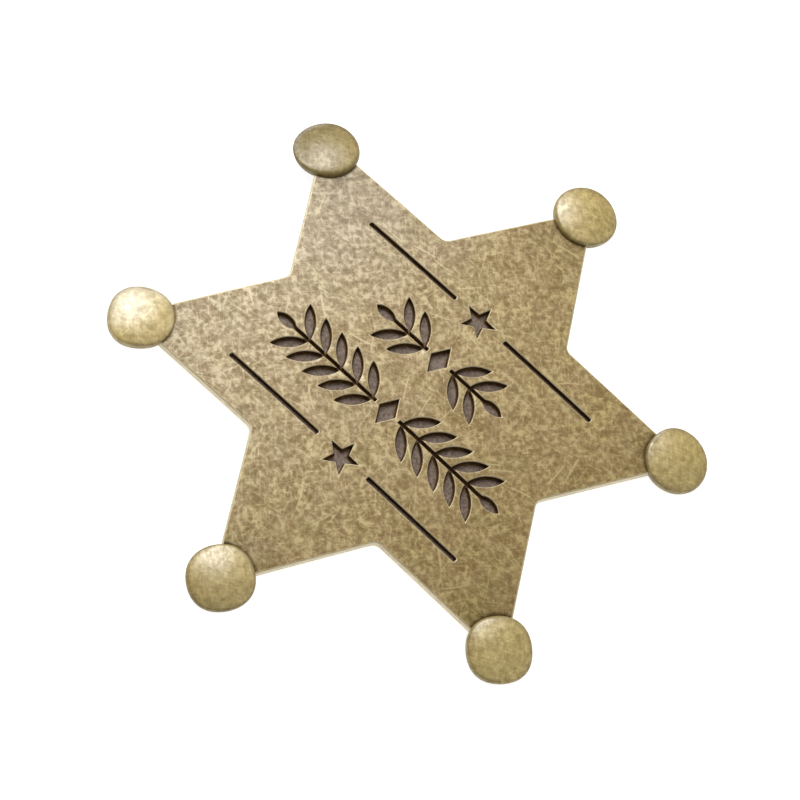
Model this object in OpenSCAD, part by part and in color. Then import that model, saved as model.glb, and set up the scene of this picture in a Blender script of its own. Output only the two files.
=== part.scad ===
// Six-pointed star badge: a slightly domed cast plate with a domed disc on each tip,
// engraved rules, small stars and leaf sprigs on the face, and a flat pin behind.
// It lies face up on z = 0, resting on the undersides of the six discs. The top tip points to +Y.

/* [Star plate] */
// Distance between the centres of two opposite tip discs
tip_spread = 58.2; // [57:0.1:60]
// Thickness of the plate
plate_t = 1.2; // [1.1:0.1:1.3]
// Height of the plate's centre above its surface at the disc centres
dome_rise = 0.9; // [0.8:0.1:1.4]
// How far each arm's sharp point lies past its disc's centre
point_past_disc = 1.3; // [1:0.1:2]
// Radius in the notches between the arms
notch_r = 1; // [0.6:0.1:1.4]

/* [Tip discs] */
// Widest diameter of a disc
disc_d = 7.2; // [6.8:0.1:7.6]
// Height of a disc above the plate's face
disc_rise = 1; // [0.8:0.1:1.2]
// Radius of a disc's rounded shoulder
shoulder_r = 0.5; // [0.4:0.1:0.6]
// Radius of a disc's rounded underside, which is its depth below the plate's face
belly_r = 2.1; // [2:0.05:2.3]
// Outward lean of a disc
disc_lean = 9; // [6:0.5:11]

/* [Engraving] */
// Depth of the engraving
engrave_depth = 0.65; // [0.4:0.05:0.7]
// Width of an engraved rule
rule_w = 0.6; // [0.5:0.05:0.8]
// Length of an engraved rule
rule_l = 12.3; // [11:0.1:12.5]
// Distance from the badge's middle line to the near end of a rule
rule_gap = 3.45; // [3.2:0.05:3.6]
// Distance of the rules and small stars from the badge's centre
rule_y = 10.9; // [10.6:0.1:11.2]
// Radius of a small star's points
small_star_r = 2; // [1.8:0.05:2.2]
// Radius of a small star's inner corners
small_star_inner_r = 0.82; // [0.74:0.02:0.9]

/* [Leaf sprigs] */
// Height of the upper sprigs' stem above the centre
upper_y = 4.25; // [4.1:0.05:4.4]
// Height of the lower sprigs' stem, below the centre
lower_y = -3.95; // [-4.1:0.05:-3.8]
// Pairs of leaves on an upper sprig
upper_pairs = 2; // [1:1:2]
// Pairs of leaves on a lower sprig
lower_pairs = 5; // [3:1:5]
// Distance between two leaf pairs along the stem
leaf_pitch = 2.25; // [2.1:0.05:2.3]
// Length of a leaf
leaf_l = 4.1; // [3.6:0.1:4.3]
// Width of a leaf
leaf_w = 1.2; // [1:0.05:1.3]
// Angle between a leaf and its stem
leaf_angle = 48; // [44:1:52]
// Width of a stem
stem_w = 0.42; // [0.35:0.01:0.5]
// Half width of the lozenge between two sprigs
lozenge_x = 1.1; // [0.9:0.1:1.3]
// Half height of the lozenge between two sprigs
lozenge_y = 1.9; // [1.6:0.1:2.2]

/* [Back pin] */
// Length of the pin's strip
strip_l = 25; // [24:0.5:26]
// Width of the pin's strip
strip_w = 3.6; // [3.4:0.1:3.8]
// Thickness of the pin's strip
strip_t = 0.35; // [0.3:0.05:0.4]
// Distance of the strip's middle above the badge's centre
strip_y = 6; // [5.8:0.1:6.2]
// Diameter of the pin's stem
pin_d = 0.76; // [0.7:0.02:0.8]
// Distance between the two rivets that hold the strip
rivet_spread = 14; // [12:0.5:15]

/* [Hidden] */

// Places of the six tips, and of the notches half way between them
tip_angles = [for (i = [0:5]) 30 + 60 * i];
ring_r = tip_spread / 2;
point_r = ring_r + point_past_disc;
corner_r = point_r / sqrt(3);

// The face is part of a ball, whose radius follows from the rise of the dome
face_ball_r = (ring_r * ring_r + dome_rise * dome_rise) / (2 * dome_rise);
ring_z = belly_r + (disc_d / 2 - belly_r) * sin(disc_lean);
top_z = ring_z + dome_rise;
function back_z(r) = top_z - face_ball_r + sqrt(pow(face_ball_r - plate_t, 2) - r * r);

// A disc's cap is a flat arc that runs smoothly into the shoulder's arc
disc_r = disc_d / 2;
shoulder_x = disc_r - shoulder_r;
cap_r = (pow(shoulder_x, 2) + pow(disc_rise, 2) - pow(shoulder_r, 2)) / (2 * (disc_rise - shoulder_r));
cap_angle = asin(shoulder_x / (cap_r - shoulder_r));
cap_z = disc_rise - cap_r;

// Heights of the pin, from the seats cast on the back down to the catch
seat_clearance = 0.05;
catch_floor_clearance = 0.1;
seat_r = 1.8;
rivet_x = rivet_spread / 2;
rivet_r = 0.8;
rivet_head_r = 1.3;
rivet_head_t = 0.25;
strip_corner_r = norm([strip_l / 2, strip_y + strip_w / 2]);
strip_top_z = back_z(strip_corner_r) - 2 * seat_clearance;
seat_z = strip_top_z + seat_clearance;
strip_z = strip_top_z - strip_t;
pin_r = pin_d / 2;
pin_y = 3;
pin_z = 0.87;
block_l = 2;
block_y = 1.9;
hinge_z = 0.3;
catch_slot_r = pin_r + 0.1;
pin_point_l = 1.4;

through = 1;
smooth = 96;
small_round = 48;
ball_fn = 360;

// The star's outline: six points joined by straight edges, with an arc in each notch
function on_circle(r, a) = [r * cos(a), r * sin(a)];
function notch_arc(a) =
    let (centre = on_circle(corner_r + notch_r / sin(60), a))
    [for (s = [-30:12:30]) centre + on_circle(notch_r, a + 180 - s)];

module star_outline() {
    polygon([for (a = tip_angles) each concat([on_circle(point_r, a)], notch_arc(a + 30))]);
}

// A ball whose top lies the given depth below the face, poles turned away from the plate
module face_ball(depth) {
    translate([0, 0, top_z - face_ball_r]) rotate([90, 0, 0]) sphere(face_ball_r - depth, $fn = ball_fn);
}

// One half of a disc's section above its widest line: flat cap and shoulder
module cap_section() {
    square([shoulder_x, cap_z + cap_r * cos(cap_angle)]);
    intersection() {
        translate([0, cap_z]) circle(cap_r, $fn = 400);
        polygon([[0, cap_z], [0, cap_z] + 2 * cap_r * [sin(cap_angle), cos(cap_angle)], [0, cap_r]]);
        square([disc_r, 2 * disc_rise]);
    }
    intersection() {
        translate([shoulder_x, 0]) circle(shoulder_r, $fn = small_round);
        square([disc_r, disc_rise]);
    }
}

// The same half below its widest line: a quarter round that ends in a small flat
module belly_section() {
    translate([0, -belly_r]) square([disc_r - belly_r, belly_r]);
    intersection() {
        translate([disc_r - belly_r, 0]) circle(belly_r, $fn = smooth);
        translate([0, -belly_r]) square([disc_r, belly_r]);
    }
}

module tip_disc(a) {
    rotate([0, 0, a]) translate([ring_r, 0, ring_z]) rotate([0, disc_lean, 0])
        rotate_extrude($fn = smooth) {
            cap_section();
            belly_section();
        }
}

module rules() {
    for (side = [-1, 1]) for (row = [-1, 1])
        translate([side * (rule_gap + rule_l / 2), row * rule_y])
            square([rule_l, rule_w], center = true);
}

// A small star stands with the middle of its height, not its centre, on the line of the rules
module small_star(y) {
    translate([0, y - small_star_r * (1 - cos(36)) / 2])
        polygon([for (i = [0:9]) on_circle(i % 2 == 0 ? small_star_r : small_star_inner_r, 90 + 36 * i)]);
}

// A pointed leaf between two arcs, from the origin along +X
module leaf(length) {
    arc_r = (length * length + leaf_w * leaf_w) / (4 * leaf_w);
    intersection_for (side = [-1, 1])
        translate([length / 2, side * (arc_r - leaf_w / 2)]) circle(arc_r, $fn = 200);
}

// A sprig along +X: leaves in pairs on a stem, which ends in a single leaf
module sprig(pairs) {
    first = lozenge_x + stem_w + 0.5;
    last = first + pairs * leaf_pitch;
    translate([first - stem_w, -stem_w / 2]) square([last - first + stem_w, stem_w]);
    for (i = [0:pairs - 1]) for (side = [-1, 1])
        translate([first + i * leaf_pitch, side * stem_w / 4]) rotate(side * leaf_angle) leaf(leaf_l);
    translate([last - stem_w, 0]) leaf(leaf_l * cos(leaf_angle));
}

module sprig_row(y, pairs) {
    translate([0, y]) {
        polygon([[lozenge_x, 0], [0, lozenge_y], [-lozenge_x, 0], [0, -lozenge_y]]);
        sprig(pairs);
        mirror([1, 0]) sprig(pairs);
    }
}

module engraving() {
    difference() {
        linear_extrude(top_z + through) {
            rules();
            small_star(rule_y);
            small_star(-rule_y);
            sprig_row(upper_y, upper_pairs);
            sprig_row(lower_y, lower_pairs);
        }
        face_ball(engrave_depth);
    }
}

module plate() {
    difference() {
        intersection() {
            linear_extrude(top_z + through) star_outline();
            face_ball(0);
        }
        face_ball(plate_t);
        engraving();
    }
}

// A flat seat on the back with a rivet, whose head holds the strip
module rivet_seat(x) {
    seat_top = top_z - (engrave_depth + plate_t) / 2;
    translate([x, strip_y, seat_z]) cylinder(h = seat_top - seat_z, r = seat_r, $fn = smooth);
    translate([x, strip_y, strip_z - seat_clearance - rivet_head_t / 2])
        cylinder(h = seat_top - strip_z, r = rivet_r, $fn = small_round);
    translate([x, strip_y, strip_z - seat_clearance - rivet_head_t])
        cylinder(h = rivet_head_t, r = rivet_head_r, $fn = small_round);
}

module star_casting() {
    color("#a89468") {
        plate();
        for (a = tip_angles) tip_disc(a);
        for (side = [-1, 1]) rivet_seat(side * rivet_x);
    }
}

module strip() {
    difference() {
        translate([-strip_l / 2, strip_y - strip_w / 2, strip_z]) cube([strip_l, strip_w, strip_t]);
        for (side = [-1, 1])
            translate([side * rivet_x, strip_y, strip_z - through])
                cylinder(h = strip_t + 2 * through, r = rivet_r + seat_clearance, $fn = small_round);
    }
}

module hinge_block() {
    translate([strip_l / 2 - block_l, block_y, hinge_z])
        cube([block_l, strip_y + strip_w / 2 - block_y, strip_top_z - hinge_z]);
}

// The catch stands at the other end; its slot opens sideways, away from the strip
module catch() {
    difference() {
        translate([-strip_l / 2, block_y, catch_floor_clearance])
            cube([block_l, strip_y + strip_w / 2 - block_y, strip_top_z - catch_floor_clearance]);
        translate([-strip_l / 2 - through, pin_y, pin_z])
            rotate([0, 90, 0]) cylinder(h = block_l + 2 * through, r = catch_slot_r, $fn = small_round);
        translate([-strip_l / 2 - through, block_y - through, pin_z - catch_slot_r * 0.8])
            cube([block_l + 2 * through, pin_y - block_y + through, catch_slot_r * 1.6]);
        translate([-strip_l / 2 - through, strip_y - strip_w / 2, catch_floor_clearance - through])
            cube([block_l + 2 * through, strip_w + through, strip_z - catch_floor_clearance + through]);
    }
}

module stem() {
    run = strip_l - block_l / 2 - pin_point_l;
    translate([strip_l / 2 - block_l / 2, pin_y, pin_z]) rotate([0, -90, 0]) {
        cylinder(h = run, r = pin_r, $fn = small_round);
        translate([0, 0, run]) cylinder(h = pin_point_l, r1 = pin_r, r2 = pin_r / 4, $fn = small_round);
    }
}

module back_pin() {
    color("#b5ab97") {
        strip();
        hinge_block();
        catch();
        stem();
    }
}

star_casting();
back_pin();
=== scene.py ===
import math

import bmesh
import bpy
from mathutils import Matrix, Vector


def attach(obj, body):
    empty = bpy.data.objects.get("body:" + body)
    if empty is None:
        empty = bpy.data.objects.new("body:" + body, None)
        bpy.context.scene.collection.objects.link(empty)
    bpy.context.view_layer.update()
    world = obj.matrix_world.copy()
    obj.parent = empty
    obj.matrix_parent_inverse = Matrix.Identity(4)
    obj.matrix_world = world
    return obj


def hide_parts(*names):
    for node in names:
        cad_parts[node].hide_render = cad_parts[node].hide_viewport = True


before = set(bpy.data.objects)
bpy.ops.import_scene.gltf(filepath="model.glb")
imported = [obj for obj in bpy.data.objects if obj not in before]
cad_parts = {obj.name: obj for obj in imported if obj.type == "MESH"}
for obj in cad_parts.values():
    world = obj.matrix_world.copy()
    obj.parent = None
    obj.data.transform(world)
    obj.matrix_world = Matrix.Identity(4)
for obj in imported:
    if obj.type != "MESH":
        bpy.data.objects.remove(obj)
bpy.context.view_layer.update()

MM = 0.001

# Sizes in millimetres and angles in degrees, as the part's source gives them
RING_R = 29.1
PLATE_T = 1.2
DOME_RISE = 0.9
POINT_PAST_DISC = 1.3
NOTCH_R = 1.0

DISC_R = 3.6
DISC_RISE = 1.0
SHOULDER_R = 0.5
BELLY_R = 2.1
DISC_LEAN = 9.0

ENGRAVE_DEPTH = 0.65
RULE_L = 12.3
RULE_GAP = 3.45
RULE_Y = 10.9
SMALL_STAR_R = 2.0
SMALL_STAR_INNER_R = 0.82

UPPER_Y = 4.25
LOWER_Y = -3.95
UPPER_PAIRS = 2
LOWER_PAIRS = 5
LEAF_PITCH = 2.25
LEAF_L = 4.1
LEAF_W = 1.2
LEAF_ANGLE = 48.0
STEM_W = 0.42
SPRIG_GAP = 0.5
LOZENGE_X = 1.1
LOZENGE_Y = 1.9

STRIP_L = 25.0
STRIP_W = 3.6
STRIP_T = 0.35
STRIP_Y = 6.0
RIVET_X = 7.0
RIVET_R = 0.8
RIVET_HEAD_R = 1.3
RIVET_HEAD_T = 0.25
SEAT_R = 1.8
SEAT_CLEARANCE = 0.05
PIN_R = 0.38
PIN_Y = 3.0
PIN_Z = 0.87
PIN_POINT_L = 1.4
BLOCK_L = 2.0
BLOCK_Y = 1.9
HINGE_Z = 0.3
CATCH_Z = 0.1
CATCH_CLEARANCE = 0.1

# Sizes and heights that follow from them
POINT_R = RING_R + POINT_PAST_DISC
CORNER_R = POINT_R / math.sqrt(3)
BALL_R = (RING_R ** 2 + DOME_RISE ** 2) / (2 * DOME_RISE)
RING_Z = BELLY_R + (DISC_R - BELLY_R) * math.sin(math.radians(DISC_LEAN))
TOP_Z = RING_Z + DOME_RISE
STRIP_END_X = STRIP_L / 2
STRIP_NEAR_Y = STRIP_Y - STRIP_W / 2
STRIP_FAR_Y = STRIP_Y + STRIP_W / 2
STRIP_CORNER_R = math.hypot(STRIP_END_X, STRIP_FAR_Y)
BACK_OVER_STRIP = TOP_Z - BALL_R + math.sqrt((BALL_R - PLATE_T) ** 2 - STRIP_CORNER_R ** 2)
STRIP_TOP_Z = BACK_OVER_STRIP - 2 * SEAT_CLEARANCE
STRIP_Z = STRIP_TOP_Z - STRIP_T
SEAT_Z = STRIP_TOP_Z + SEAT_CLEARANCE
SEAT_TOP_Z = TOP_Z - (ENGRAVE_DEPTH + PLATE_T) / 2

# The rules are a little narrower than in the source, because their worn lips add to their width
RULE_W = 0.5

# Worn roundings of the casting's edges, and of the pin's
FACE_EDGE_R = 0.2
BACK_EDGE_R = 0.45
ARRIS_R = 0.12
RULE_ARRIS_R = 0.14
RULE_END_R = 0.16
FLOOR_FILLET_R = 0.18
RULE_FILLET_R = 0.08
SEAT_EDGE_R = 0.08
STRIP_EDGE_R = 0.08
HINGE_EDGE_R = 0.25

# An engraving cutter's flare ends just above the face, and the cutter goes on from there; the cutter of
# a rivet hole is longer than the strip is thick
FLARE_CLEARANCE = 0.005
CUTTER_TOP = 0.4
HOLE_CUTTER_L = 2

# Half the area that is cut in a grid, so that the plate can bend, then the grid's pitch and offset
GRID_REACH = (30, 33)
GRID = 3.0
GRID_OFFSET = 0.37

# Points nearer together than this are merged, in cut meshes and in turned ones
CUT_MERGE = 1e-4
TURNED_MERGE = 1e-5

# Edges that bend by more than this are drawn sharp
SHARP = math.radians(50)

# Steps of one full turn
DISC_STEPS = 96
RIVET_STEPS = 48
STEM_STEPS = 32

# Section of a rivet's peened head: radius, and share of the head's thickness
PEENED_HEAD = (
    (RIVET_HEAD_R, 0),
    (RIVET_HEAD_R - 0.04, 0.4),
    (RIVET_HEAD_R * 0.72, 0.85),
    (RIVET_HEAD_R * 0.4, 1),
    (0, 1),
)

# Section of the stem's point: share of the stem's radius, and share of the point's length
STEM_POINT = ((1, 0), (0.85, 0.3), (0.25, 1), (0, 1))

# The hinge block runs this far into the strip, and the catch is bent round the stem by this angle
HINGE_OVERLAP = 0.02
CATCH_BEND = -230

# Directions of the tips, in the order of their discs
TIPS = (30, 90, 150, 210, 270, 330)

# No two discs of such a casting sit alike, so the next four tables give each disc its own values.
# Degrees that it leans outwards and along the rim, how far it sits out and along from the ring, and
# its height
DISC_SEATS = {
    30: (10.9, -4.8, -0.09, -0.06, 2.19),
    90: (5.8, -1.4, -0.05, 0.11, 2.33),
    150: (11.9, 0.0, -0.26, 0.18, 2.08),
    210: (4.5, -3.5, -0.12, -0.09, 2.19),
    270: (4.0, -4.0, -0.05, 0.1, 2.29),
    330: (8.0, 0.0, -0.01, -0.08, 2.29),
}

# Its radius, how full its belly is, and degrees that its crown leans outwards and along besides
DISC_BODIES = {
    30: (3.554, 0.84, -1.3, 1.1),
    90: (3.6, 0.98, 1.4, -1.3),
    150: (3.603, 0.74, 4.0, 2.4),
    210: (3.564, 0.87, -2.0, -0.4),
    270: (3.55, 0.95, 0.1, 2.7),
    330: (3.529, 0.94, 0.8, 0.4),
}

# How uneven its outline is: shares of cos 3a, sin 3a, cos 4a and sin 4a
DISC_OUTLINES = {
    30: (0.003, -0.007, 0.0, 0.005),
    90: (0.001, 0.005, 0.002, 0.006),
    150: (-0.003, -0.010, -0.004, -0.004),
    210: (-0.017, -0.001, -0.014, -0.006),
    270: (0.005, -0.003, 0.012, 0.010),
    330: (0.0, 0.003, -0.013, 0.014),
}

# The patina and painted shade on it: the share in its middle, which is below 0 where its brass is
# painted paler as a painted highlight, how much more there is at one rim, and that rim's direction
DISC_PATINA_AND_SHADE = {
    30: (0.16, 0, 0),
    90: (0.16, 0.1, 42),
    150: (0.49, 0.13, 180),
    210: (-0.05, 0.2, -20),
    270: (0.22, 0.14, -44),
    330: (0.16, 0.04, 136),
}

# The lean of a crown fades out at the rim by this power, and its middle sinks by the slope over this
# length, so that it hardly rises anywhere
CROWN_POWER = 16
CROWN_SINK = 2.0

# Share of brown on the discs' shoulders, patina and painted shade of their steep rims, how much less
# there is on the rims towards the camera, which reflect the bright floor, and the direction of those
# rims
SHOULDER_PATINA_AND_SHADE = 0.32
SHOULDER_LESS_WHERE_LIT = 0.2
FLOOR_LIT_SIDE = -44

# The tip that the face's painted grey sheen lies at, a painted reflection, and how far the brown
# darkening at each tip reaches and how strong it is
SHEEN_TIP = 150
TIP_DARKENING = {330: (28.0, 0.13), 270: (17.0, 0.07), 90: (15.0, 0.05), 150: (15.0, 0.06), 210: (28.0, 0.03)}

# Material slots of the plate
PLATE_SLOTS = 6
FACE, ARRIS, SIDE, BACK, CUT_WALL, CUT_FLOOR = range(PLATE_SLOTS)


def on_circle(radius, degrees):
    """The point of a circle about the origin in that direction, from +X towards +Y."""
    angle = math.radians(degrees)
    return Vector((radius * math.cos(angle), radius * math.sin(angle), 0))


# Colours and nodes


def linear(hex_colour):
    """An sRGB hex colour such as "a89468" as linear RGBA."""
    channels = [int(hex_colour[i:i + 2], 16) / 255 for i in (0, 2, 4)]
    return [c / 12.92 if c <= 0.04045 else ((c + 0.055) / 1.055) ** 2.4 for c in channels] + [1.0]


def add(tree, kind, inputs=(), out=0, **settings):
    """Adds a node with its settings and gives one of its outputs.

    The inputs are a list in the node's own order, or a dict by name or number, and each is a value or
    another node's output to link.
    """
    node = tree.nodes.new("ShaderNode" + kind)
    for name, value in settings.items():
        setattr(node, name, value)
    for key, value in (inputs.items() if isinstance(inputs, dict) else enumerate(inputs)):
        if isinstance(value, bpy.types.NodeSocket):
            tree.links.new(value, node.inputs[key])
        else:
            node.inputs[key].default_value = value
    return node.outputs[out] if node.outputs else None


def new_material(name):
    """A new material, its node tree and its Object coordinates in millimetres."""
    material = bpy.data.materials.new(name)
    material.use_nodes = True
    tree = material.node_tree
    tree.nodes.clear()
    place = add(tree, "TexCoord", out="Object")
    return material, tree, add(tree, "VectorMath", {0: place, "Scale": 1 / MM}, operation="SCALE")


def mottle(tree, place, seed, size, low, high, detail=2.0, roughness=0.5, to=1.0):
    """Soft patches about that many millimetres across, as a share from 0 to the given one."""
    fog = add(tree, "TexNoise", {"Vector": place, "W": seed, "Scale": 1 / size, "Detail": detail,
                                 "Roughness": roughness}, noise_dimensions="4D")
    return add(tree, "MapRange", [fog, low, high, 0.0, to], interpolation_type="SMOOTHSTEP")


def rubbed(tree, place, seed, degrees, length, width, low, high, to=1.0):
    """Streaks rubbed in one direction; sizes in millimetres."""
    turned = add(tree, "VectorRotate", {"Vector": place, "Angle": -math.radians(degrees)},
                 rotation_type="Z_AXIS")
    drawn = add(tree, "VectorMath", [turned, (width / length, 1, 1)], operation="MULTIPLY")
    return mottle(tree, drawn, seed, width, low, high, detail=1.0, to=to)


def strokes(tree, place, seed, cell, length, width, share, bow=0.0):
    """Single rubbed strokes; sizes in millimetres.

    That share of the pattern's cells hold a stroke each, turned its own way and from 0.4 to 1 strong.
    """
    moved = add(tree, "VectorMath", [place, (seed * 7.3, seed * 3.1, 0)], operation="ADD")
    cells = {"Vector": moved, "Scale": 1 / cell}
    middle = add(tree, "TexVoronoi", cells, "Position", voronoi_dimensions="2D")
    dice = add(tree, "TexVoronoi", cells, "Color", voronoi_dimensions="2D")
    first, second, third = [add(tree, "SeparateColor", [dice], i) for i in range(3)]
    off = add(tree, "VectorMath", [moved, middle], operation="SUBTRACT")
    angle = add(tree, "Math", [first, 2 * math.pi], operation="MULTIPLY")
    turned = add(tree, "VectorRotate", {"Vector": off, "Angle": angle}, rotation_type="Z_AXIS")
    along, across = [add(tree, "SeparateXYZ", [turned], i) for i in range(2)]
    squared = add(tree, "Math", [along, along], operation="MULTIPLY")
    bent = add(tree, "Math", [squared, bow / length, across], operation="MULTIPLY_ADD")
    beside = add(tree, "Math", [bent], operation="ABSOLUTE")
    beyond = add(tree, "Math", [along], operation="ABSOLUTE")
    line = add(tree, "MapRange", [beside, 0.0, width, 1.0, 0.0], interpolation_type="SMOOTHERSTEP")
    ends = add(tree, "MapRange", [beyond, length * 0.2, length * 0.5, 1.0, 0.0],
               interpolation_type="SMOOTHSTEP")
    shown = add(tree, "Math", [second, share], operation="LESS_THAN")
    depth = add(tree, "Math", [third, 0.6, 0.4], operation="MULTIPLY_ADD")
    faded = add(tree, "Math", [line, ends], operation="MULTIPLY")
    kept = add(tree, "Math", [shown, depth], operation="MULTIPLY")
    return add(tree, "Math", [faded, kept], operation="MULTIPLY")


def together(tree, shares, scale=1.0):
    """The sum of the shares, times the scale, and 1 at most."""
    total = shares[0]
    for share in shares[1:]:
        total = add(tree, "Math", [total, share], operation="ADD")
    return add(tree, "Math", [total, scale], operation="MULTIPLY", use_clamp=True)


def layered(tree, base, layers):
    """The base colour under layers of (share, sRGB hex colour)."""
    colour = linear(base)
    for share, hex_colour in layers:
        colour = add(tree, "Mix", {0: share, 6: colour, 7: linear(hex_colour)}, 2, data_type="RGBA")
    return colour


def near_discs(tree, place):
    """Distance in millimetres from the nearest disc's middle, seen from above."""
    flat = add(tree, "VectorMath", [place, (1, 1, 0)], operation="MULTIPLY")
    nearest = None
    for tip in TIPS:
        away = add(tree, "VectorMath", [flat, on_circle(RING_R, tip)], "Value", operation="DISTANCE")
        nearest = away if nearest is None else add(tree, "Math", [nearest, away], operation="MINIMUM")
    return nearest


def round_tip(tree, place, tip, near, far, share):
    """A share that fades out between two distances, in millimetres, from the middle of a tip."""
    away = add(tree, "VectorMath", [place, on_circle(RING_R, tip)], "Value", operation="DISTANCE")
    return add(tree, "MapRange", [away, near, far, share, 0.0], interpolation_type="SMOOTHSTEP")


def depth_below_face(tree, place):
    """Depth in millimetres below the ball of the plate's face."""
    centre = (0, 0, TOP_Z - BALL_R)
    reach = add(tree, "VectorMath", [place, centre], "Value", operation="DISTANCE")
    return add(tree, "Math", [BALL_R, reach], operation="SUBTRACT")


def finish_material(tree, colour, height=None, relief=0.01, **settings):
    """Joins the colour, a relief in millimetres and the shader's plain settings."""
    inputs = {"Base Color": colour}
    for name, value in settings.items():
        inputs[name.replace("_", " ").title().replace("Ior", "IOR")] = value
    if height is not None:
        inputs["Normal"] = add(tree, "Bump", {"Height": height, "Distance": relief * MM, "Strength": 1.0})
    shader = add(tree, "BsdfPrincipled", inputs)
    add(tree, "OutputMaterial", [shader])


# Materials


def relieved_antique_brass():
    """Antique brass plate on zinc, blackened, then brushed back by hand and lacquered.

    It gives the eye an olive-gold satin face, finely speckled where the patina stayed in the grain,
    under short hair strokes rubbed every way and a few long pale scratches. Over it lie pinkish and
    greenish clouds, a grey sheen painted at one tip as a painted reflection, and brown darkening
    round the tips. Right round the discs it is painted nearly black, then brown: painted shade where
    the discs meet the plate, with the patina in that crevice. The lacquer shines more on the rubbed
    strokes than in the pits, and is thinner where the tips are darker and in the painted shade round
    the discs. The hair strokes are drawn 0.13 mm wide, more than twice the real width, so that they
    show.
    """
    material, tree, place = new_material("antique_brass_relieved_face")
    broad = [rubbed(tree, place, 30 + i, degrees, length=1.5, width=0.5, low=0.36, high=0.64, to=0.22)
             for i, degrees in enumerate((10, 55, 100, 145))]
    pits = mottle(tree, place, 2, size=0.5, low=0.34, high=0.74, detail=3, roughness=0.65, to=0.42)
    # With a little added everywhere, the power leaves the dark grain broad and its pale tops narrow
    grain = add(tree, "Math", [together(tree, broad + [pits, 0.02]), 2.3], operation="POWER")
    fine = together(tree, [
        rubbed(tree, place, 21, degrees=136, length=1.3, width=0.2, low=0.52, high=0.72),
        rubbed(tree, place, 22, degrees=50, length=1.2, width=0.2, low=0.52, high=0.72),
        rubbed(tree, place, 23, degrees=5, length=1.2, width=0.2, low=0.52, high=0.72),
    ], scale=0.3)
    hairs = together(tree, [
        strokes(tree, place, 2 + i, cell, length=cell * 1.3, width=0.13, share=0.6, bow=0.1)
        for i, cell in enumerate((0.9, 1.2, 1.5, 1.9))
    ], scale=0.36)
    long = together(tree, [
        strokes(tree, place, 7, cell=4.2, length=4.0, width=0.15, share=0.3, bow=0.2),
        strokes(tree, place, 8, cell=6.0, length=4.0, width=0.18, share=0.4, bow=0.1),
    ], scale=0.75)
    tone = together(tree, [grain, fine, hairs, long], scale=0.92)

    # Painted shade where the discs meet the plate, with the patina in that crevice: nearly black right
    # round each disc, then a brown painted shade that fades over the next few millimetres
    near = near_discs(tree, place)
    crevice_patina_and_shade = together(tree, [
        add(tree, "MapRange", [near, 3.5, 4.1, 0.75, 0.0], interpolation_type="SMOOTHSTEP"),
        add(tree, "MapRange", [near, 3.6, 8.0, 0.13, 0.0], interpolation_type="SMOOTHSTEP"),
    ])
    # A painted reflection: a grey sheen laid on the face round one tip
    painted_sheen = round_tip(tree, place, SHEEN_TIP, near=4.0, far=24.0, share=0.15)
    # Brown darkening that fades out from each tip, by the amounts in the table
    tip_darkening = together(tree, [round_tip(tree, place, tip, near=5.0, far=reach, share=share)
                              for tip, (reach, share) in TIP_DARKENING.items()])
    colour = layered(tree, "70592c", [
        (tone, "a08a3e"),
        (together(tree, [hairs, long], scale=0.4), "b3a068"),
        (mottle(tree, place, 0, size=3.5, low=0.35, high=0.65, to=0.2), "86684a"),
        (mottle(tree, place, 1, size=2.4, low=0.5, high=0.7, to=0.14), "767030"),
        (painted_sheen, "787c88"),
        (tip_darkening, "3a2a10"),
        (crevice_patina_and_shade, "2e220c"),
    ])
    shine = add(tree, "MapRange", [tone, 0.0, 1.0, 0.2, 1.0])
    # Less lacquer where the tips are darker and in the painted shade round the discs
    dulled = together(tree, [tip_darkening, tip_darkening, crevice_patina_and_shade])
    bare = add(tree, "Math", [dulled, -0.9, 1.0], operation="MULTIPLY_ADD")
    lacquer = add(tree, "Math", [shine, bare], operation="MULTIPLY")
    finish_material(tree, colour, tone, relief=0.012, metallic=0.96, roughness=0.75,
                    coat_weight=lacquer, coat_roughness=0.4, coat_ior=1.88)
    return material


def burnished_arris():
    """Antique brass on the lips of the engraving and of the face, rounded and burnished by handling.

    A lip is palest and glossiest a few hundredths of a millimetre below the face. Its crest is duller
    and has less lacquer, so that it runs into the face.
    """
    material, tree, place = new_material("antique_brass_burnished_edge")
    deep = add(tree, "MapRange", [depth_below_face(tree, place), 0.01, 0.07, 0.0, 1.0],
               interpolation_type="SMOOTHSTEP")
    colour = layered(tree, "8c7a50", [
        (mottle(tree, place, 1, size=0.5, low=0.35, high=0.65), "a3946c"),
        (deep, "cbc3a8"),
    ])
    lacquer = add(tree, "MapRange", [deep, 0.0, 1.0, 0.3, 0.6])
    uneven_lip = mottle(tree, place, 2, size=0.5, low=0.2, high=0.8)
    finish_material(tree, colour, uneven_lip, relief=0.01, metallic=0.5, roughness=0.5,
                    coat_weight=lacquer, coat_roughness=0.4, coat_ior=1.88)
    return material


def rim_patina():
    """Thin lacquered patina on the brass of the outer walls: paler than the face, and glossier."""
    material, tree, place = new_material("antique_brass_rim_patina")
    grain = mottle(tree, place, 1, size=0.6, low=0.35, high=0.65, detail=3, roughness=0.6)
    colour = layered(tree, "b29e68", [(grain, "cdbb88")])
    finish_material(tree, colour, grain, relief=0.02, metallic=0.7, roughness=0.5,
                    coat_weight=0.8, coat_roughness=0.4)
    return material


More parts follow.
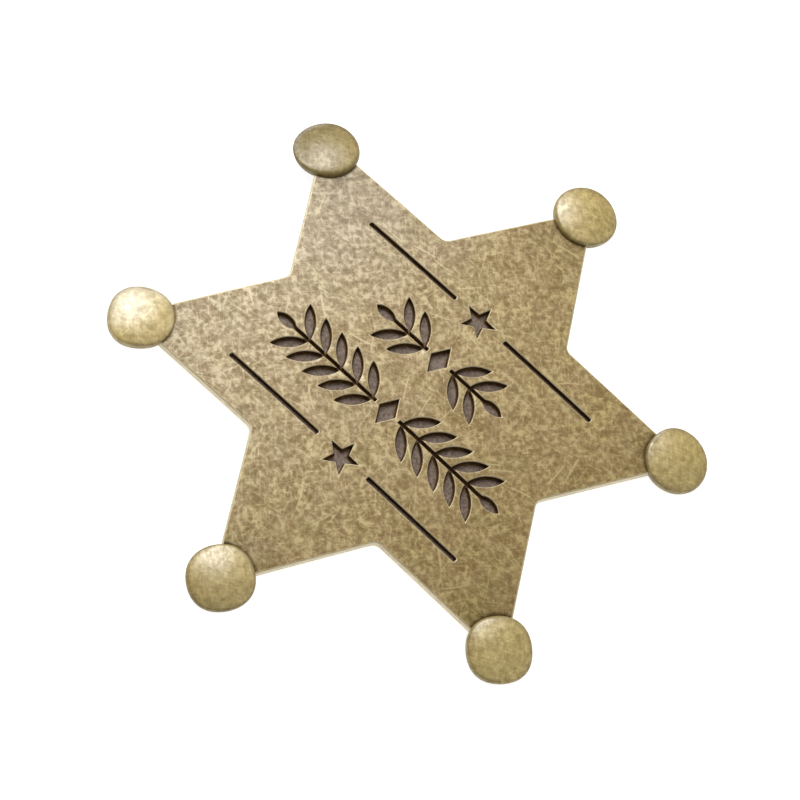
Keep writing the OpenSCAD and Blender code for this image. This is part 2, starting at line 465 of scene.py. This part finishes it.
def back_patina():
    """The cast back: darker antique finish over the mould's fine pebbled grain."""
    material, tree, place = new_material("antique_brass_cast_back")
    pebble = mottle(tree, place, 1, size=0.7, low=0.3, high=0.7, detail=3, roughness=0.55)
    tops = mottle(tree, place, 1, size=0.7, low=0.45, high=0.7, detail=3, roughness=0.55, to=0.6)
    colour = layered(tree, "6f5f3e", [
        (mottle(tree, place, 3, size=7.0, low=0.3, high=0.7), "8c7a52"),
        (tops, "ab9566"),
    ])
    finish_material(tree, colour, pebble, relief=0.035, metallic=0.7, roughness=0.5,
                    coat_weight=0.3, coat_roughness=0.4)
    return material


def engraving_wall():
    """Blackened brass on the steep walls of the engraving: near black, almost without gloss."""
    material, tree, place = new_material("blackened_brass_wall")
    colour = layered(tree, "3b2409", [(mottle(tree, place, 1, size=0.4, low=0.4, high=0.7), "573d14")])
    finish_material(tree, colour, metallic=0.2, roughness=0.7, specular_ior_level=0.2)
    return material


def engraving_floor():
    """Blackened brass on the floor of the engraving: dull mauve-grey, slightly pebbled from the mould."""
    material, tree, place = new_material("blackened_brass_floor")
    grain = mottle(tree, place, 1, size=0.35, low=0.3, high=0.7, detail=2, roughness=0.6)
    colour = layered(tree, "4b3d31", [(grain, "6e5f54")])
    finish_material(tree, colour, grain, relief=0.02, metallic=0.2, roughness=0.6, specular_ior_level=0.3)
    return material


def burnished_disc():
    """The domed discs, which take most of the rubbing: antique brass, burnished over fine hammering.

    It gives the eye a broad soft golden sheen over small dimples and faint strokes, which are drawn
    0.12 mm wide so that they show. Each disc is darkened by patina and painted shade, more at one
    rim, and where that share falls below 0 its brass is painted paler, a painted highlight that
    whitens its glare. The shoulder is painted brown, patina and painted shade of its steep rim, less
    on the rims towards the camera, where they reflect the bright floor. The belly below it is
    painted dark brown as painted shade, and is mostly bare of lacquer.
    """
    material, tree, place = new_material("antique_brass_burnished_disc")
    own = add(tree, "Attribute", out="Vector", attribute_name="disc_place")
    height_mm = add(tree, "SeparateXYZ", [own], "Z")
    flat = add(tree, "VectorMath", [own, (1, 1, 0)], operation="MULTIPLY")
    outwards = add(tree, "VectorMath", [flat], "Value", operation="LENGTH")
    # Patina and painted shade of each disc, more at one rim; below 0 it marks a painted highlight
    patina_and_shade = add(tree, "Attribute", out="Fac", attribute_name="patina_and_painted_shade")
    # Brown for the shoulder: patina and painted shade of the steep rim, less where the rims reflect the floor
    rim = add(tree, "Attribute", out="Fac", attribute_name="rim_patina")
    pale = together(tree, [
        rubbed(tree, place, 41, degrees=136, length=1.2, width=0.24, low=0.45, high=0.8),
        rubbed(tree, place, 42, degrees=30, length=1.2, width=0.24, low=0.45, high=0.8),
        strokes(tree, place, 12, cell=1.3, length=1.6, width=0.12, share=0.6, bow=0.1),
        strokes(tree, place, 13, cell=2.4, length=3.0, width=0.12, share=0.3, bow=0.3),
    ], scale=0.4)
    pits = mottle(tree, place, 2, size=0.7, low=0.26, high=0.84, detail=3, roughness=0.65)
    tone = together(tree, [pits, pale], scale=0.9)
    # The shoulder's painted shade and patina grow towards the rim
    shoulder = add(tree, "MapRange", [outwards, 2.7, 3.5, 0.0, rim], interpolation_type="SMOOTHSTEP")
    # Painted shade under the disc: the belly below its widest line is dark brown
    belly = add(tree, "MapRange", [height_mm, -1.3, -0.1, 0.8, 0.0], interpolation_type="SMOOTHSTEP")
    # A painted highlight: paler brass where the patina and shade share falls below 0
    painted_glare = add(tree, "MapRange", [patina_and_shade, -0.25, 0.0, 0.38, 0.0])
    colour = layered(tree, "8f7a38", [
        (tone, "c6b05a"),
        (mottle(tree, place, 0, size=2.2, low=0.3, high=0.7, to=0.3), "a88c4e"),
        (patina_and_shade, "1e1405"),
        (painted_glare, "ccc8b4"),
        (shoulder, "54401a"),
        (belly, "4c3b1e"),
    ])
    shine = add(tree, "MapRange", [tone, 0.0, 1.0, 0.35, 1.0])
    # The belly's painted shade and the patina and shade share take lacquer away; below 0 the share adds
    # lacquer to the painted highlight
    dulled = add(tree, "Math", [belly, patina_and_shade], operation="ADD")
    bare = add(tree, "Math", [1.0, dulled], operation="SUBTRACT")
    lacquer = add(tree, "Math", [shine, bare], operation="MULTIPLY", use_clamp=True)
    dimples = mottle(tree, place, 5, size=0.9, low=0.2, high=0.8, detail=1)
    height = together(tree, [dimples, tone], scale=0.5)
    finish_material(tree, colour, height, relief=0.04, metallic=0.47, roughness=0.83,
                    coat_weight=lacquer, coat_roughness=0.42, coat_ior=2.2)
    return material


def plated_steel():
    """Brass-washed spring steel of the pin: pale, smooth, drawn along its length."""
    material, tree, place = new_material("brass_washed_steel")
    drawn = add(tree, "VectorMath", [place, (0.12, 1, 1)], operation="MULTIPLY")
    lines = mottle(tree, drawn, 1, size=0.18, low=0.35, high=0.65, detail=2, roughness=0.6)
    colour = layered(tree, "a89d84", [(lines, "cfc5ab")])
    finish_material(tree, colour, lines, relief=0.004, metallic=1.0, roughness=0.34)
    return material


# Pieces are made in millimetres and scaled to metres when they are finished


def finish_piece(bm, name, node, materials):
    """Makes the mesh a piece with its materials and body, and hides the CAD node that it stands for."""
    bmesh.ops.scale(bm, vec=(MM, MM, MM), verts=bm.verts[:])
    for face in bm.faces:
        face.smooth = True
    for edge in bm.edges:
        edge.smooth = edge.calc_face_angle(math.pi) < SHARP
    mesh = bpy.data.meshes.new(name)
    bm.to_mesh(mesh)
    bm.free()
    for material in materials:
        mesh.materials.append(material)
    piece = bpy.data.objects.new(name, mesh)
    bpy.context.collection.objects.link(piece)
    soften = piece.modifiers.new("weighted_normals", "WEIGHTED_NORMAL")
    soften.keep_sharp = True
    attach(piece, "root")
    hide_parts(node)


def prism(points, low, high, material):
    """A closed prism between two heights, and its bottom and top faces."""
    bm = bmesh.new()
    face = bm.faces.new([bm.verts.new((p[0], p[1], low)) for p in points])
    far = bmesh.ops.extrude_face_region(bm, geom=[face])["geom"]
    drawn = [g for g in far if isinstance(g, bmesh.types.BMVert)]
    bmesh.ops.translate(bm, verts=drawn, vec=(0, 0, high - low))
    bmesh.ops.recalc_face_normals(bm, faces=bm.faces[:])
    for each in bm.faces:
        each.material_index = material
    by_height = sorted(bm.faces, key=lambda f: f.calc_center_median().z)
    return bm, by_height[0], by_height[-1]


def step_rim(bm, face, inward, outward, material):
    """Insets the face and draws it out; the new ring takes that material."""
    ring = bmesh.ops.inset_individual(bm, faces=[face], thickness=inward, depth=outward,
                                      use_even_offset=True)
    for each in ring["faces"]:
        each.material_index = material


def round_rim(bm, face, radius, steps, material, hollow=False):
    """Draws the face out over a quarter round: a worn edge, or one flared outwards if hollow."""
    for i in range(steps):
        a = math.pi / 2 * i / steps
        b = math.pi / 2 * (i + 1) / steps
        inward = radius * (math.cos(a) - math.cos(b))
        outward = radius * (math.sin(b) - math.sin(a))
        step_rim(bm, face, -inward if hollow else inward, outward, material)


def in_scene(bm, name):
    """Puts the mesh in the scene, with empty slots so that its faces keep their material's number."""
    mesh = bpy.data.meshes.new(name)
    bm.to_mesh(mesh)
    bm.free()
    for _ in range(PLATE_SLOTS):
        mesh.materials.append(None)
    loose = bpy.data.objects.new(name, mesh)
    bpy.context.collection.objects.link(loose)
    return loose


def carve(bm, cutter):
    """The first mesh less the second, whose closed shells may run into each other."""
    block = in_scene(bm, "block")
    tool = in_scene(cutter, "tool")
    step = block.modifiers.new("carve", "BOOLEAN")
    step.operation = "DIFFERENCE"
    step.solver = "EXACT"
    step.use_self = True
    step.object = tool
    out = bmesh.new()
    out.from_object(block, bpy.context.evaluated_depsgraph_get())
    for loose in (block, tool):
        mesh = loose.data
        bpy.data.objects.remove(loose)
        bpy.data.meshes.remove(mesh)
    return out


# Star plate


def star_outline():
    """The six points, and after each of them the notch before the next, worn round."""
    points = []
    for tip in TIPS:
        points.append(on_circle(POINT_R, tip))
        centre = on_circle(CORNER_R + NOTCH_R / math.sin(math.radians(60)), tip + 30)
        points += [centre + on_circle(NOTCH_R, tip + 240 - 10 * i) for i in range(7)]
    return points


def plate_blank():
    """The flat star with worn rims, its face at height 0."""
    bm, low, high = prism(star_outline(), BACK_EDGE_R - PLATE_T, -FACE_EDGE_R, SIDE)
    round_rim(bm, high, FACE_EDGE_R, 3, ARRIS)
    high.material_index = FACE
    round_rim(bm, low, BACK_EDGE_R, 4, SIDE)
    low.material_index = BACK
    return bm


def add_cut(cutter, points, arris=ARRIS_R, fillet=FLOOR_FILLET_R):
    """Adds one engraved shape: steep walls, a filleted floor and a burnished flare at the face."""
    bm, low, high = prism(points, fillet - ENGRAVE_DEPTH, FLARE_CLEARANCE - arris, CUT_WALL)
    round_rim(bm, low, fillet, 3, CUT_WALL)
    low.material_index = CUT_FLOOR
    round_rim(bm, high, arris, 3, ARRIS, hollow=True)
    step_rim(bm, high, 0, CUTTER_TOP, ARRIS)
    mesh = bpy.data.meshes.new("cut")
    bm.to_mesh(mesh)
    bm.free()
    cutter.from_mesh(mesh)
    bpy.data.meshes.remove(mesh)


def box_points(x0, x1, y0, y1):
    """The corners of a rectangle."""
    return [Vector((x0, y0, 0)), Vector((x1, y0, 0)), Vector((x1, y1, 0)), Vector((x0, y1, 0))]


def rule_points(x0, x1, y):
    """A rule with its middle line at y and the corners of its ends rounded."""
    inset = RULE_END_R - RULE_W / 2
    corners = [
        (x0 + RULE_END_R, -1, 180),
        (x1 - RULE_END_R, -1, 270),
        (x1 - RULE_END_R, 1, 0),
        (x0 + RULE_END_R, 1, 90),
    ]
    return [Vector((x, y - side * inset, 0)) + on_circle(RULE_END_R, first + turned)
            for x, side, first in corners for turned in (0, 30, 60, 90)]


def small_star_points(y):
    """A five-pointed star with the middle of its height at y."""
    centre = Vector((0, y - SMALL_STAR_R * (1 - math.cos(math.radians(36))) / 2, 0))
    radii = [SMALL_STAR_R, SMALL_STAR_INNER_R] * 5
    return [centre + on_circle(r, 90 + 36 * i) for i, r in enumerate(radii)]


def leaf_points(length, steps=10):
    """A pointed leaf between two arcs, from the origin along +X."""
    arc_r = (length ** 2 + LEAF_W ** 2) / (4 * LEAF_W)
    half = math.degrees(math.asin(length / 2 / arc_r))
    centre = Vector((length / 2, arc_r - LEAF_W / 2, 0))
    lower = [centre + on_circle(arc_r, 270 - half + 2 * half * i / steps) for i in range(steps + 1)]
    upper = [Vector((p.x, -p.y, 0)) for p in reversed(lower[1:-1])]
    return lower + upper


def placed(points, x, y, degrees, side):
    """The points turned, moved, and mirrored to the side."""
    turned = Matrix.Rotation(math.radians(degrees), 3, "Z")
    moved = [turned @ p + Vector((x, y, 0)) for p in points]
    return [Vector((side * p.x, p.y, 0)) for p in moved]


def add_sprigs(cutter, y, pairs):
    """A lozenge with a leaf sprig to either side of it: a stem, pairs of leaves and one at its end."""
    first = LOZENGE_X + STEM_W + SPRIG_GAP
    last = first + pairs * LEAF_PITCH
    add_cut(cutter, [(LOZENGE_X, y), (0, y + LOZENGE_Y), (-LOZENGE_X, y), (0, y - LOZENGE_Y)])
    for side in (-1, 1):
        stem = box_points(first - STEM_W, last, -STEM_W / 2, STEM_W / 2)
        add_cut(cutter, placed(stem, 0, y, 0, side))
        for i in range(pairs):
            for up in (-1, 1):
                base_x = first + i * LEAF_PITCH
                base_y = y + up * STEM_W / 4
                add_cut(cutter, placed(leaf_points(LEAF_L), base_x, base_y, up * LEAF_ANGLE, side))
        end = leaf_points(LEAF_L * math.cos(math.radians(LEAF_ANGLE)), steps=8)
        add_cut(cutter, placed(end, last - STEM_W, y, 0, side))


def engraving():
    """The cutters of the four rules, the two small stars and the two rows of sprigs."""
    cutter = bmesh.new()
    for row in (-1, 1):
        for side in (-1, 1):
            x0, x1 = sorted((side * RULE_GAP, side * (RULE_GAP + RULE_L)))
            add_cut(cutter, rule_points(x0, x1, row * RULE_Y), RULE_ARRIS_R, RULE_FILLET_R)
        add_cut(cutter, small_star_points(row * RULE_Y))
    add_sprigs(cutter, UPPER_Y, UPPER_PAIRS)
    add_sprigs(cutter, LOWER_Y, LOWER_PAIRS)
    return cutter


def dish(bm):
    """Bends the flat plate onto the ball of its face, after cutting it in a grid so that it can bend."""
    for normal, reach in zip((Vector((1, 0, 0)), Vector((0, 1, 0))), GRID_REACH):
        at = GRID_OFFSET - reach
        while at < reach:
            everything = bm.verts[:] + bm.edges[:] + bm.faces[:]
            bmesh.ops.bisect_plane(bm, geom=everything, dist=CUT_MERGE, plane_co=normal * at,
                                   plane_no=normal)
            at += GRID
    for vert in bm.verts:
        x, y, h = vert.co
        vert.co.z = TOP_Z - BALL_R + math.sqrt((BALL_R + h) ** 2 - x * x - y * y)


def star_plate(cast_back):
    """The engraved and domed plate; its materials are in the order of its slots."""
    bm = carve(plate_blank(), engraving())
    bmesh.ops.remove_doubles(bm, verts=bm.verts[:], dist=CUT_MERGE)
    bmesh.ops.dissolve_degenerate(bm, dist=CUT_MERGE, edges=bm.edges[:])
    dish(bm)
    bmesh.ops.remove_doubles(bm, verts=bm.verts[:], dist=CUT_MERGE)
    materials = [relieved_antique_brass(), burnished_arris(), rim_patina(), cast_back,
                 engraving_wall(), engraving_floor()]
    finish_piece(bm, "star_plate", "star_casting", materials)


# Turned shapes: a line of points in the XZ plane, then one full turn about Z


def line_to(bm, vert, x, z):
    """Carries the line straight on to that point."""
    new = bmesh.ops.extrude_vert_indiv(bm, verts=[vert])["verts"][0]
    new.co = (x, 0, z)
    return new


def arc_to(bm, vert, x, z, degrees, steps):
    """Carries the line round the centre (x, z) by that angle."""
    made = bmesh.ops.spin(bm, geom=[vert], cent=(x, 0, z), axis=(0, 1, 0),
                          angle=math.radians(degrees), steps=steps)
    return [g for g in made["geom_last"] if isinstance(g, bmesh.types.BMVert)][0]


def turn(bm, steps):
    """Turns the line into a closed shape."""
    bmesh.ops.spin(bm, geom=bm.verts[:] + bm.edges[:], axis=(0, 0, 1), cent=(0, 0, 0),
                   angle=2 * math.pi, steps=steps, use_merge=True)
    bmesh.ops.remove_doubles(bm, verts=bm.verts[:], dist=TURNED_MERGE)
    bmesh.ops.recalc_face_normals(bm, faces=bm.faces[:])


def disc_shape(radius, belly):
    """One domed disc, its widest line at height 0: flat cap, rounded shoulder and quarter-round belly."""
    shoulder_x = radius - SHOULDER_R
    cap_r = (shoulder_x ** 2 + DISC_RISE ** 2 - SHOULDER_R ** 2) / (2 * (DISC_RISE - SHOULDER_R))
    cap_angle = math.degrees(math.asin(shoulder_x / (cap_r - SHOULDER_R)))
    bm = bmesh.new()
    vert = bm.verts.new((0, 0, DISC_RISE))
    vert = arc_to(bm, vert, 0, DISC_RISE - cap_r, cap_angle, 12)
    vert = arc_to(bm, vert, shoulder_x, 0, 90 - cap_angle, 8)
    vert = arc_to(bm, vert, radius - BELLY_R, 0, 90, 12)
    line_to(bm, vert, 0, -BELLY_R)
    turn(bm, DISC_STEPS)
    for vert in bm.verts:
        if vert.co.z < 0:
            vert.co.z *= belly
    return bm


def mark_patina_and_shade(bm, tip, radius):
    """Keeps each point's place on the round disc, and its patina and painted shade there, for the disc's
    material.
    """
    own = bm.verts.layers.float_vector.new("disc_place")
    patina_and_shade = bm.verts.layers.float.new("patina_and_painted_shade")
    rim = bm.verts.layers.float.new("rim_patina")
    share, more, side = DISC_PATINA_AND_SHADE[tip]
    for vert in bm.verts:
        vert[own] = vert.co
        vert[patina_and_shade] = share + on_circle(more / radius, side - tip).dot(vert.co)
        vert[rim] = SHOULDER_PATINA_AND_SHADE - on_circle(SHOULDER_LESS_WHERE_LIT / radius, FLOOR_LIT_SIDE - tip).dot(vert.co)


def lean_crown(bm, radius, out, along):
    """Leans the crown of a disc over while its rim stays: it was not hammered evenly."""
    slope = Vector((math.tan(math.radians(out)), math.tan(math.radians(along)), 0))
    for vert in bm.verts:
        if vert.co.z > 0:
            inside = 1 - (math.hypot(vert.co.x, vert.co.y) / radius) ** CROWN_POWER
            vert.co.z -= inside * (slope.dot(vert.co) + CROWN_SINK * slope.length)


def uneven(bm, shares):
    """Makes the round outline as uneven as the shares of three and four waves say."""
    for vert in bm.verts:
        angle = math.atan2(vert.co.y, vert.co.x)
        waves = (math.cos(3 * angle), math.sin(3 * angle), math.cos(4 * angle), math.sin(4 * angle))
        scale = 1 + sum(share * wave for share, wave in zip(shares, waves))
        vert.co.x *= scale
        vert.co.y *= scale


def tip_discs():
    """The six discs, each shaped about the origin with +X outwards, then leant and set on its tip."""
    materials = [burnished_disc()]
    for number, tip in enumerate(TIPS, 1):
        radius, belly, crown_out, crown_along = DISC_BODIES[tip]
        bm = disc_shape(radius, belly)
        mark_patina_and_shade(bm, tip, radius)
        lean_crown(bm, radius, crown_out, crown_along)
        uneven(bm, DISC_OUTLINES[tip])
        lean_out, lean_along, out, along, height = DISC_SEATS[tip]
        lean = Vector((-lean_along, lean_out, 0))
        place = Matrix.Rotation(math.radians(tip), 4, "Z") @ Matrix.Translation((RING_R + out, along, height))
        place = place @ Matrix.Rotation(math.radians(lean.length), 4, lean)
        bmesh.ops.transform(bm, matrix=place, verts=bm.verts[:])
        finish_piece(bm, f"tip_disc_{number}", "star_casting", materials)


def rivet_seats(cast_back):
    """The bosses on the back, each with the rivet that holds the pin's strip."""
    head_z = STRIP_Z - SEAT_CLEARANCE
    for number, side in enumerate((-1, 1), 1):
        bm = bmesh.new()
        vert = bm.verts.new((0, 0, SEAT_TOP_Z))
        vert = line_to(bm, vert, SEAT_R, SEAT_TOP_Z)
        vert = line_to(bm, vert, SEAT_R, SEAT_Z + SEAT_EDGE_R)
        vert = arc_to(bm, vert, SEAT_R - SEAT_EDGE_R, SEAT_Z + SEAT_EDGE_R, 90, 3)
        vert = line_to(bm, vert, RIVET_R, SEAT_Z)
        vert = line_to(bm, vert, RIVET_R, head_z)
        for x, share in PEENED_HEAD:
            vert = line_to(bm, vert, x, head_z - RIVET_HEAD_T * share)
        turn(bm, RIVET_STEPS)
        bmesh.ops.translate(bm, verts=bm.verts[:], vec=(side * RIVET_X, STRIP_Y, 0))
        finish_piece(bm, f"rivet_{number}", "star_casting", [cast_back])


# Back pin


def worn_box(x0, x1, y0, y1, z0, z1, radius, segments):
    """A box with its edges and corners rounded."""
    bm, _, _ = prism(box_points(x0, x1, y0, y1), z0, z1, 0)
    bmesh.ops.bevel(bm, geom=bm.edges[:], offset=radius, segments=segments, affect="EDGES",
                    profile=0.5, material=-1)
    return bm


def pin_strip(steel):
    """The flat strip, with a hole for each rivet."""
    strip = worn_box(-STRIP_END_X, STRIP_END_X, STRIP_NEAR_Y, STRIP_FAR_Y, STRIP_Z, STRIP_TOP_Z,
                     STRIP_EDGE_R, segments=2)
    holes = bmesh.new()
    for side in (-1, 1):
        place = Matrix.Translation((side * RIVET_X, STRIP_Y, STRIP_Z))
        bmesh.ops.create_cone(holes, cap_ends=True, segments=RIVET_STEPS, radius1=RIVET_R + SEAT_CLEARANCE,
                              radius2=RIVET_R + SEAT_CLEARANCE, depth=HOLE_CUTTER_L, matrix=place)
    finish_piece(carve(strip, holes), "pin_strip", "back_pin", [steel])


def pin_hinge(steel):
    """The block that the stem springs from."""
    hinge = worn_box(STRIP_END_X - BLOCK_L, STRIP_END_X, BLOCK_Y, STRIP_FAR_Y,
                     HINGE_Z, STRIP_Z + HINGE_OVERLAP, HINGE_EDGE_R, segments=3)
    finish_piece(hinge, "pin_hinge", "back_pin", [steel])


def pin_stem(steel):
    """The stem: turned about Z from its root at the origin, then laid along -X from the hinge."""
    stem = bmesh.new()
    run = STRIP_L - BLOCK_L / 2 - PIN_POINT_L
    vert = stem.verts.new((0, 0, 0))
    vert = line_to(stem, vert, PIN_R, 0)
    for across, along in STEM_POINT:
        vert = line_to(stem, vert, PIN_R * across, run + PIN_POINT_L * along)
    turn(stem, STEM_STEPS)
    root = Matrix.Translation((STRIP_END_X - BLOCK_L / 2, PIN_Y, PIN_Z))
    place = root @ Matrix.Rotation(math.radians(-90), 4, "Y")
    bmesh.ops.transform(stem, matrix=place, verts=stem.verts[:])
    finish_piece(stem, "pin_stem", "back_pin", [steel])


def pin_catch(steel):
    """The catch, bent round the stem and open at one side."""
    catch = bmesh.new()
    inner = PIN_R + CATCH_CLEARANCE
    outer = PIN_Z - CATCH_Z
    section = [(0, inner), (BLOCK_L, inner), (BLOCK_L, outer), (0, outer)]
    face = catch.faces.new([catch.verts.new((x, PIN_Y, PIN_Z + reach)) for x, reach in section])
    bmesh.ops.spin(catch, geom=[face], axis=(1, 0, 0), cent=(0, PIN_Y, PIN_Z),
                   angle=math.radians(CATCH_BEND), steps=20)
    bmesh.ops.remove_doubles(catch, verts=catch.verts[:], dist=TURNED_MERGE)
    bmesh.ops.recalc_face_normals(catch, faces=catch.faces[:])
    bmesh.ops.translate(catch, verts=catch.verts[:], vec=(-STRIP_END_X, 0, 0))
    finish_piece(catch, "pin_catch", "back_pin", [steel])


def back_pin():
    """The closed pin, all of one steel."""
    steel = plated_steel()
    pin_strip(steel)
    pin_hinge(steel)
    pin_stem(steel)
    pin_catch(steel)


# Floor, light and camera


def pale_floor(half_width):
    """A white table lit from within, which leaves no more than a trace of shadow; its size in metres."""
    material, tree, _ = new_material("pale_floor")
    shader = add(tree, "BsdfPrincipled", {
        "Base Color": linear("aaaaaa"),
        "Roughness": 1.0,
        "Specular IOR Level": 0.0,
        "Emission Color": linear("ffffff"),
        "Emission Strength": 0.9,
    })
    add(tree, "OutputMaterial", [shader])
    bm = bmesh.new()
    bmesh.ops.create_grid(bm, x_segments=1, y_segments=1, size=half_width)
    mesh = bpy.data.meshes.new("floor")
    bm.to_mesh(mesh)
    bm.free()
    mesh.materials.append(material)
    floor = bpy.data.objects.new("floor", mesh)
    bpy.context.collection.objects.link(floor)


def soft_light(name, azimuth, elevation, distance, width, radiance):
    """A round soft box that faces the badge; azimuth is measured from +X towards +Y."""
    lamp = bpy.data.lights.new(name, "AREA")
    lamp.shape = "DISK"
    lamp.size = width
    # Watts that give this radiance over the area of the box
    lamp.energy = radiance * math.pi * math.pi * (width / 2) ** 2
    box = bpy.data.objects.new(name, lamp)
    bpy.context.collection.objects.link(box)
    flat = math.cos(math.radians(elevation))
    towards = on_circle(flat, azimuth) + Vector((0, 0, math.sin(math.radians(elevation))))
    box.location = towards * distance
    box.rotation_mode = "QUATERNION"
    box.rotation_quaternion = towards.to_track_quat("Z", "Y")
    box.visible_camera = False


def room_light(bright, dim, azimuth, horizon):
    """A soft room, dimmer on the side at that azimuth.

    Light from 37 degrees up and higher is whole, and falls off from there to the horizon's share.
    """
    world = bpy.data.worlds.new("studio")
    bpy.context.scene.world = world
    world.use_nodes = True
    tree = world.node_tree
    tree.nodes.clear()
    towards = add(tree, "TexCoord", out="Generated")
    side = add(tree, "VectorMath", [towards, on_circle(1, azimuth)], "Value", operation="DOT_PRODUCT")
    level = add(tree, "MapRange", [side, 0.0, 1.0, bright, dim])
    up = add(tree, "SeparateXYZ", [towards], "Z")
    high = add(tree, "MapRange", [up, 0.0, 0.6, horizon, 1.0])
    strength = add(tree, "Math", [level, high], operation="MULTIPLY")
    glow = add(tree, "Background", {"Color": linear("ffffff"), "Strength": strength})
    add(tree, "OutputWorld", [glow])


def photo_camera():
    """The camera at the photograph's angle; its axes are unit vectors in the badge's frame."""
    lens = bpy.data.cameras.new("camera")
    lens.sensor_width = 36
    lens.lens = 111.86
    lens.clip_start = 0.01
    lens.clip_end = 20
    camera = bpy.data.objects.new("camera", lens)
    bpy.context.collection.objects.link(camera)
    right = Vector((0.73282, 0.65673, 0.17797))
    up = Vector((-0.66795, 0.64450, 0.37211))
    back = Vector((0.12968, -0.39157, 0.91097))
    axes = Matrix((right, up, back)).transposed()
    camera.rotation_mode = "QUATERNION"
    camera.rotation_quaternion = axes.to_quaternion()
    camera.location = Vector((33.45, -102.78, 234.188 + TOP_Z)) * MM
    bpy.context.scene.camera = camera


cast_back = back_patina()
star_plate(cast_back)
tip_discs()
rivet_seats(cast_back)
back_pin()
pale_floor(half_width=12.0)
room_light(bright=0.86, dim=0.05, azimuth=-119, horizon=0.12)
soft_light("main_soft_box", azimuth=149, elevation=50, distance=0.528, width=0.351, radiance=11.4)
photo_camera()
bpy.context.scene.view_settings.view_transform = "Standard"
